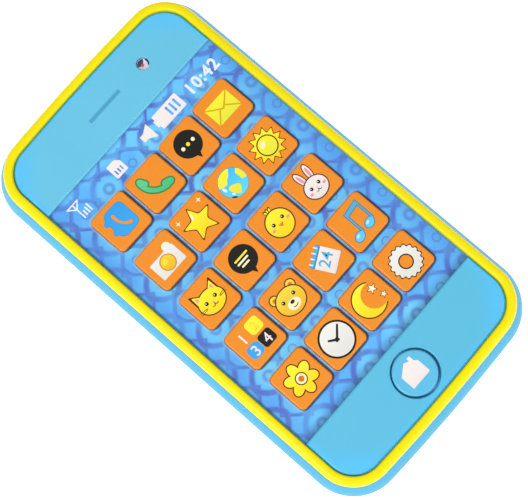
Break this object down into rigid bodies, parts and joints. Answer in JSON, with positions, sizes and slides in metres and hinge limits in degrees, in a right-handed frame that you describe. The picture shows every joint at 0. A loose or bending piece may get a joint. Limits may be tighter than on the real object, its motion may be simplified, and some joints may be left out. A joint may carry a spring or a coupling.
{
  "type": "toy cell phone",
  "caption": "Flat toy phone: rounded casing with a contrasting trim ring, a grid of springy picture keys over a printed screen, a round home button, a speaker and a battery cover.",
  "frame": {"origin": "middle of the flat back, on which the phone lies", "axes": "+Z out of the face, +Y to the earpiece end, +X to the right of someone who looks at the face"},
  "size_m": [0.068, 0.1244, 0.0157],
  "materials": {
    "cyan_casing": "semi-gloss moulded ABS",
    "cyan_panel": "semi-gloss moulded ABS",
    "yellow_trim": "semi-gloss moulded ABS",
    "orange_key": "semi-gloss moulded ABS, printed icon",
    "home_cyan": "semi-gloss moulded ABS, printed icon",
    "screen_print": "printed film with a satin face",
    "silicone": "matt moulded silicone",
    "circuit_board": "green solder mask",
    "epoxy": "glossy potted blob",
    "led_lens": "clear moulded lens",
    "zinc_steel": "zinc-plated pressed strip",
    "cell_steel": "nickel-plated can",
    "screw_steel": "nickel-plated screw",
    "ferrite": "sintered, plated cup",
    "speaker_paper": "pressed black paper",
    "black_plastic": "fine moulded texture",
    "red_wire": "PVC insulation",
    "black_wire": "PVC insulation"
  },
  "bodies": {
    "casing": {"rear_shell": "cyan_casing", "front_fascia": "cyan_panel", "bezel_ring": "yellow_trim", "screen_label": "screen_print", "rubber_keypad": "silicone", "main_pcb": "circuit_board", "chip_blob": "epoxy", "indicator_led": "led_lens", "speaker_frame": "zinc_steel", "speaker_magnet": "ferrite", "switch_body": "zinc_steel", "button_cell_left": "cell_steel", "button_cell_middle": "cell_steel", "button_cell_right": "cell_steel", "contact_negative": "zinc_steel", "contact_bridge_upper": "zinc_steel", "contact_positive": "zinc_steel", "wire_battery_negative": "black_wire", "wire_battery_positive": "red_wire", "wire_speaker_positive": "red_wire", "wire_speaker_negative": "black_wire", "case_screw_top_right": "screw_steel", "case_screw_top_left": "screw_steel", "case_screw_bottom_left": "screw_steel", "case_screw_bottom_right": "screw_steel", "pcb_screw_top_right": "screw_steel", "pcb_screw_top_left": "screw_steel", "pcb_screw_bottom_left": "screw_steel", "pcb_screw_bottom_right": "screw_steel"},
    "key_phone_book": {"key_phone_book": "orange_key"},
    "key_handset": {"key_handset": "orange_key"},
    "key_chat": {"key_chat": "orange_key"},
    "key_mail": {"key_mail": "orange_key"},
    "key_camera": {"key_camera": "orange_key"},
    "key_star": {"key_star": "orange_key"},
    "key_globe": {"key_globe": "orange_key"},
    "key_sun": {"key_sun": "orange_key"},
    "key_cat": {"key_cat": "orange_key"},
    "key_speech": {"key_speech": "orange_key"},
    "key_chick": {"key_chick": "orange_key"},
    "key_rabbit": {"key_rabbit": "orange_key"},
    "key_numbers": {"key_numbers": "orange_key"},
    "key_bear": {"key_bear": "orange_key"},
    "key_calendar": {"key_calendar": "orange_key"},
    "key_music": {"key_music": "orange_key"},
    "key_flower": {"key_flower": "orange_key"},
    "key_clock": {"key_clock": "orange_key"},
    "key_moon": {"key_moon": "orange_key"},
    "key_settings": {"key_settings": "orange_key"},
    "home_button": {"home_button": "home_cyan"},
    "power_slider": {"switch_slider": "black_plastic"},
    "battery_cover": {"battery_cover": "cyan_casing", "battery_cover_screw": "screw_steel", "contact_bridge_cover": "zinc_steel"},
    "speaker_cone": {"speaker_cone": "speaker_paper"}
  },
  "joints": [
    {"name": "key_phone_book_press", "type": "slide", "parent": "casing", "child": "key_phone_book", "axis": [0, 0, -1], "range_m": [0, 0.001], "stiffness_N_per_m": 600, "springref_m": -0.0005, "deforming": ["rubber_keypad"]},
    {"name": "key_handset_press", "type": "slide", "parent": "casing", "child": "key_handset", "axis": [0, 0, -1], "range_m": [0, 0.001], "stiffness_N_per_m": 600, "springref_m": -0.0005, "deforming": ["rubber_keypad"]},
    {"name": "key_chat_press", "type": "slide", "parent": "casing", "child": "key_chat", "axis": [0, 0, -1], "range_m": [0, 0.001], "stiffness_N_per_m": 600, "springref_m": -0.0005, "deforming": ["rubber_keypad"]},
    {"name": "key_mail_press", "type": "slide", "parent": "casing", "child": "key_mail", "axis": [0, 0, -1], "range_m": [0, 0.001], "stiffness_N_per_m": 600, "springref_m": -0.0005, "deforming": ["rubber_keypad"]},
    {"name": "key_camera_press", "type": "slide", "parent": "casing", "child": "key_camera", "axis": [0, 0, -1], "range_m": [0, 0.001], "stiffness_N_per_m": 600, "springref_m": -0.0005, "deforming": ["rubber_keypad"]},
    {"name": "key_star_press", "type": "slide", "parent": "casing", "child": "key_star", "axis": [0, 0, -1], "range_m": [0, 0.001], "stiffness_N_per_m": 600, "springref_m": -0.0005, "deforming": ["rubber_keypad"]},
    {"name": "key_globe_press", "type": "slide", "parent": "casing", "child": "key_globe", "axis": [0, 0, -1], "range_m": [0, 0.001], "stiffness_N_per_m": 600, "springref_m": -0.0005, "deforming": ["rubber_keypad"]},
    {"name": "key_sun_press", "type": "slide", "parent": "casing", "child": "key_sun", "axis": [0, 0, -1], "range_m": [0, 0.001], "stiffness_N_per_m": 600, "springref_m": -0.0005, "deforming": ["rubber_keypad"]},
    {"name": "key_cat_press", "type": "slide", "parent": "casing", "child": "key_cat", "axis": [0, 0, -1], "range_m": [0, 0.001], "stiffness_N_per_m": 600, "springref_m": -0.0005, "deforming": ["rubber_keypad"]},
    {"name": "key_speech_press", "type": "slide", "parent": "casing", "child": "key_speech", "axis": [0, 0, -1], "range_m": [0, 0.001], "stiffness_N_per_m": 600, "springref_m": -0.0005, "deforming": ["rubber_keypad"]},
    {"name": "key_chick_press", "type": "slide", "parent": "casing", "child": "key_chick", "axis": [0, 0, -1], "range_m": [0, 0.001], "stiffness_N_per_m": 600, "springref_m": -0.0005, "deforming": ["rubber_keypad"]},
    {"name": "key_rabbit_press", "type": "slide", "parent": "casing", "child": "key_rabbit", "axis": [0, 0, -1], "range_m": [0, 0.001], "stiffness_N_per_m": 600, "springref_m": -0.0005, "deforming": ["rubber_keypad"]},
    {"name": "key_numbers_press", "type": "slide", "parent": "casing", "child": "key_numbers", "axis": [0, 0, -1], "range_m": [0, 0.001], "stiffness_N_per_m": 600, "springref_m": -0.0005, "deforming": ["rubber_keypad"]},
    {"name": "key_bear_press", "type": "slide", "parent": "casing", "child": "key_bear", "axis": [0, 0, -1], "range_m": [0, 0.001], "stiffness_N_per_m": 600, "springref_m": -0.0005, "deforming": ["rubber_keypad"]},
    {"name": "key_calendar_press", "type": "slide", "parent": "casing", "child": "key_calendar", "axis": [0, 0, -1], "range_m": [0, 0.001], "stiffness_N_per_m": 600, "springref_m": -0.0005, "deforming": ["rubber_keypad"]},
    {"name": "key_music_press", "type": "slide", "parent": "casing", "child": "key_music", "axis": [0, 0, -1], "range_m": [0, 0.001], "stiffness_N_per_m": 600, "springref_m": -0.0005, "deforming": ["rubber_keypad"]},
    {"name": "key_flower_press", "type": "slide", "parent": "casing", "child": "key_flower", "axis": [0, 0, -1], "range_m": [0, 0.001], "stiffness_N_per_m": 600, "springref_m": -0.0005, "deforming": ["rubber_keypad"]},
    {"name": "key_clock_press", "type": "slide", "parent": "casing", "child": "key_clock", "axis": [0, 0, -1], "range_m": [0, 0.001], "stiffness_N_per_m": 600, "springref_m": -0.0005, "deforming": ["rubber_keypad"]},
    {"name": "key_moon_press", "type": "slide", "parent": "casing", "child": "key_moon", "axis": [0, 0, -1], "range_m": [0, 0.001], "stiffness_N_per_m": 600, "springref_m": -0.0005, "deforming": ["rubber_keypad"]},
    {"name": "key_settings_press", "type": "slide", "parent": "casing", "child": "key_settings", "axis": [0, 0, -1], "range_m": [0, 0.001], "stiffness_N_per_m": 600, "springref_m": -0.0005, "deforming": ["rubber_keypad"]},
    {"name": "home_button_press", "type": "slide", "parent": "casing", "child": "home_button", "axis": [0, 0, -1], "range_m": [0, 0.001], "stiffness_N_per_m": 600, "springref_m": -0.0005, "deforming": ["rubber_keypad"]},
    {"name": "power_slide", "type": "slide", "parent": "casing", "child": "power_slider", "axis": [1, 0, 0], "range_m": [0, 0.003]},
    {"name": "battery_cover_tilt", "type": "hinge", "parent": "casing", "child": "battery_cover", "pos_m": [0, -0.0442, 0.0001], "axis": [-1, 0, 0], "range_deg": [0, 40]},
    {"name": "speaker_cone_travel", "type": "slide", "parent": "casing", "child": "speaker_cone", "axis": [0, 0, 1], "range_m": [-0.00025, 0.00025], "stiffness_N_per_m": 1500}
  ]
}
